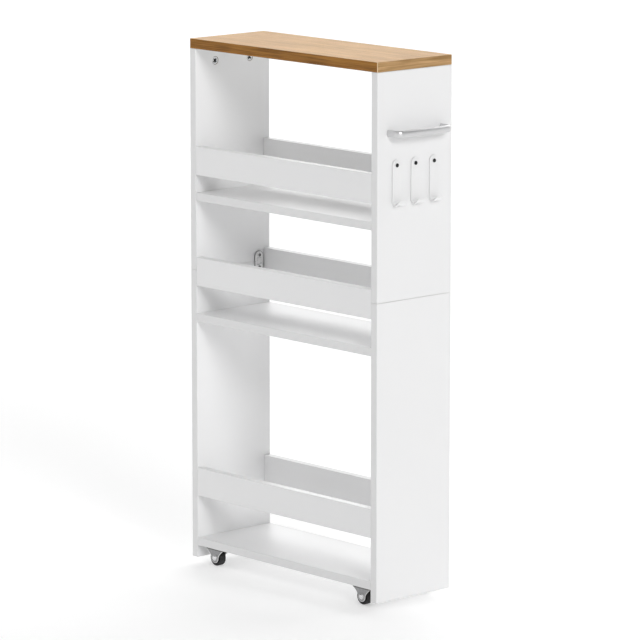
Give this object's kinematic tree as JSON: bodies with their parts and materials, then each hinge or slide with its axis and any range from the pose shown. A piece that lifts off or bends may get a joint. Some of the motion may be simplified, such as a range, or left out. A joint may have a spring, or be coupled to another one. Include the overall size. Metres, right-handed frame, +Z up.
{
  "type": "rolling pantry cart",
  "caption": "Tall slim pantry cart: white board carcass with an oak-look top, railed shelves, a side pull handle, hooks and fixed casters.",
  "frame": {"origin": "middle of the footprint, handle included, on the floor under the wheels", "axes": "+Z up; +X along the cart towards the end with the pull handle; -Y the open front"},
  "size_m": [0.532, 0.18, 0.98],
  "materials": {
    "oak_top": "oak-look laminate, satin, with darker edge banding",
    "white_board": "white melamine-faced particle board, satin",
    "satin_handle": "satin nickel",
    "white_hook": "moulded white plastic",
    "caster_steel": "zinc-plated pressed sheet",
    "zinc_fittings": "bright zinc plate",
    "black_screws": "black zinc",
    "caster_wheel": "black moulded wheel"
  },
  "bodies": {
    "cart": {"top_board": "oak_top", "left_lower_panel": "white_board", "left_upper_panel": "white_board", "right_lower_panel": "white_board", "right_upper_panel": "white_board", "bottom_shelf": "white_board", "middle_shelf": "white_board", "top_shelf": "white_board", "bottom_front_rail": "white_board", "bottom_back_rail": "white_board", "middle_front_rail": "white_board", "middle_back_rail": "white_board", "top_front_rail": "white_board", "top_back_rail": "white_board", "handle": "satin_handle", "handle_front_screw": "zinc_fittings", "handle_back_screw": "zinc_fittings", "hook_1": "white_hook", "hook_1_screw": "black_screws", "hook_2": "white_hook", "hook_2_screw": "black_screws", "hook_3": "white_hook", "hook_3_screw": "black_screws", "left_front_cam": "zinc_fittings", "left_front_cam_bolt": "zinc_fittings", "left_front_joining_plate": "zinc_fittings", "left_front_joining_plate_lower_screw": "zinc_fittings", "left_front_joining_plate_upper_screw": "zinc_fittings", "left_back_cam": "zinc_fittings", "left_back_cam_bolt": "zinc_fittings", "left_back_joining_plate": "zinc_fittings", "left_back_joining_plate_lower_screw": "zinc_fittings", "left_back_joining_plate_upper_screw": "zinc_fittings", "right_front_cam": "zinc_fittings", "right_front_cam_bolt": "zinc_fittings", "right_front_joining_plate": "zinc_fittings", "right_front_joining_plate_lower_screw": "zinc_fittings", "right_front_joining_plate_upper_screw": "zinc_fittings", "right_back_cam": "zinc_fittings", "right_back_cam_bolt": "zinc_fittings", "right_back_joining_plate": "zinc_fittings", "right_back_joining_plate_lower_screw": "zinc_fittings", "right_back_joining_plate_upper_screw": "zinc_fittings", "front_left_bracket": "caster_steel", "front_left_axle": "zinc_fittings", "front_right_bracket": "caster_steel", "front_right_axle": "zinc_fittings", "back_left_bracket": "caster_steel", "back_left_axle": "zinc_fittings", "back_right_bracket": "caster_steel", "back_right_axle": "zinc_fittings"},
    "front_left_wheel": {"front_left_wheel": "caster_wheel"},
    "front_right_wheel": {"front_right_wheel": "caster_wheel"},
    "back_left_wheel": {"back_left_wheel": "caster_wheel"},
    "back_right_wheel": {"back_right_wheel": "caster_wheel"}
  },
  "joints": [
    {"name": "front_left_wheel_spin", "type": "hinge", "parent": "cart", "child": "front_left_wheel", "pos_m": [-0.216, -0.0705, 0.015], "axis": [0, 1, 0], "continuous": true},
    {"name": "front_right_wheel_spin", "type": "hinge", "parent": "cart", "child": "front_right_wheel", "pos_m": [0.184, -0.0705, 0.015], "axis": [0, 1, 0], "continuous": true},
    {"name": "back_left_wheel_spin", "type": "hinge", "parent": "cart", "child": "back_left_wheel", "pos_m": [-0.216, 0.0705, 0.015], "axis": [0, 1, 0], "continuous": true},
    {"name": "back_right_wheel_spin", "type": "hinge", "parent": "cart", "child": "back_right_wheel", "pos_m": [0.184, 0.0705, 0.015], "axis": [0, 1, 0], "continuous": true}
  ]
}
